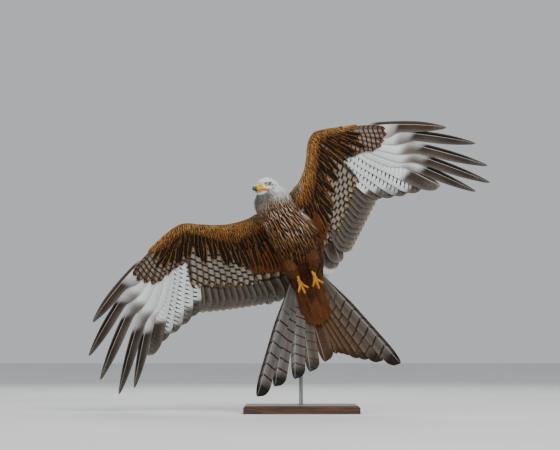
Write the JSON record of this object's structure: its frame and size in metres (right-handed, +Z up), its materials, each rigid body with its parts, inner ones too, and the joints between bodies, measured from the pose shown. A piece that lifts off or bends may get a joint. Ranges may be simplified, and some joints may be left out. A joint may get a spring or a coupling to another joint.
{
  "type": "red kite bird",
  "caption": "Life-size red kite soaring on spread wings with a forked, fanned tail and tucked feet, held by a rod on a flat wooden base.",
  "frame": {"origin": "centre of the flat underside of the stand's base", "axes": "+Z up from the floor, -Y the side that the bird's underside faces, +X to the right as seen from there; the bird's head is up and its tail down"},
  "size_m": [1.1492, 0.2328, 0.8232],
  "materials": {
    "feather_rufous": "matt overlapping body feathers",
    "feather_pale": "matt fine feathers",
    "feather_streaked": "matt lance-shaped feathers with dark streaks",
    "feather_flight": "silky flight feathers",
    "feather_tail": "silky barred tail feathers",
    "bill": "polished horn",
    "skin_yellow": "satin scaled skin",
    "eye": "wet gloss",
    "claw": "polished horn",
    "wood": "satin varnish",
    "steel": "satin"
  },
  "bodies": {
    "root": {"bill_lower": "bill", "bill_upper": "bill", "cere": "skin_yellow", "claw_left_1": "claw", "claw_left_2": "claw", "claw_left_3": "claw", "claw_left_4": "claw", "claw_right_1": "claw", "claw_right_2": "claw", "claw_right_3": "claw", "claw_right_4": "claw", "eye_left": "eye", "eye_right": "eye", "foot_left": "skin_yellow", "foot_right": "skin_yellow", "head": "feather_pale", "neck": "feather_streaked", "stand_base": "wood", "stand_rod": "steel", "tail": "feather_tail", "thigh_left": "feather_rufous", "thigh_right": "feather_rufous", "torso": "feather_rufous", "wing_left_arm": "feather_rufous", "wing_left_hand": "feather_flight", "wing_right_arm": "feather_rufous", "wing_right_hand": "feather_flight"}
  },
  "joints": []
}
